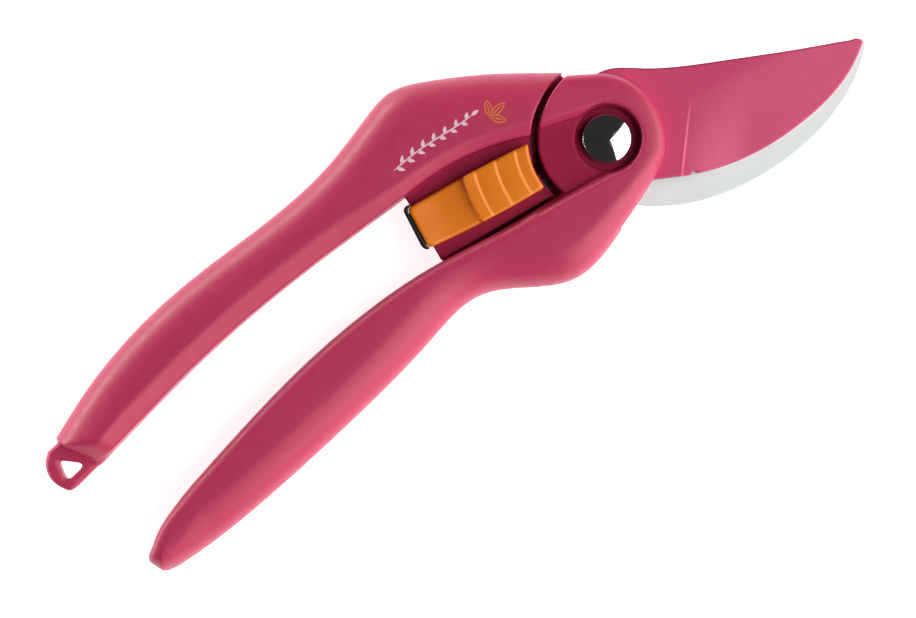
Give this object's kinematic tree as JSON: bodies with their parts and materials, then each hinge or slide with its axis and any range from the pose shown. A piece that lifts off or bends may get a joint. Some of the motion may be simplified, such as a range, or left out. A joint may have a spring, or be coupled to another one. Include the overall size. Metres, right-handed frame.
{
  "type": "bypass pruner",
  "caption": "Small one-hand bypass pruner with two moulded handles, a coated cutting blade over a steel hook, a domed pivot bolt and a sliding thumb lock.",
  "frame": {"origin": "on the pivot axis, in the plane of the handles' flat backs, on which the closed pruner lies", "axes": "+X to the blade tip, +Y to the handle with the hang hole, +Z out of the face with the domed bolt head"},
  "size_m": [0.2017, 0.0664, 0.016],
  "materials": {
    "handle_plastic": "satin moulded, fine grain",
    "blade_coating": "low-friction coating over ground steel",
    "hook_steel": "fine ground",
    "bolt_chrome": "polished",
    "nut_steel": "zinc plated",
    "washer_steel": "bright",
    "bush_plastic": "moulded",
    "spring_steel": "oiled wire",
    "button_plastic": "semi-gloss moulded",
    "slider_plastic": "moulded",
    "bumper_rubber": "moulded"
  },
  "bodies": {
    "handle": {"upper_handle": "handle_plastic", "counter_blade": "hook_steel", "pivot_bolt": "bolt_chrome", "pivot_nut": "nut_steel", "head_washer": "washer_steel", "friction_washer": "bush_plastic", "nut_washer": "washer_steel", "return_spring": "spring_steel", "lock_detent_spring": "spring_steel"},
    "lower_arm": {"lower_handle": "handle_plastic", "cutting_blade": "blade_coating", "pivot_bush": "bush_plastic", "stop_bumper": "bumper_rubber"},
    "lock": {"lock_button": "button_plastic", "lock_slider": "slider_plastic", "lock_screw": "nut_steel"}
  },
  "joints": [
    {"name": "pivot", "type": "hinge", "parent": "handle", "child": "lower_arm", "pos_m": [0, 0, 0], "axis": [0, 0, 1], "range_deg": [0, 30], "stiffness_Nm_per_rad": 0.76, "springref_deg": 75.06, "deforming": ["return_spring"]},
    {"name": "lock_slide", "type": "slide", "parent": "handle", "child": "lock", "axis": [1, 0, 0], "range_m": [0, 0.0015]}
  ]
}
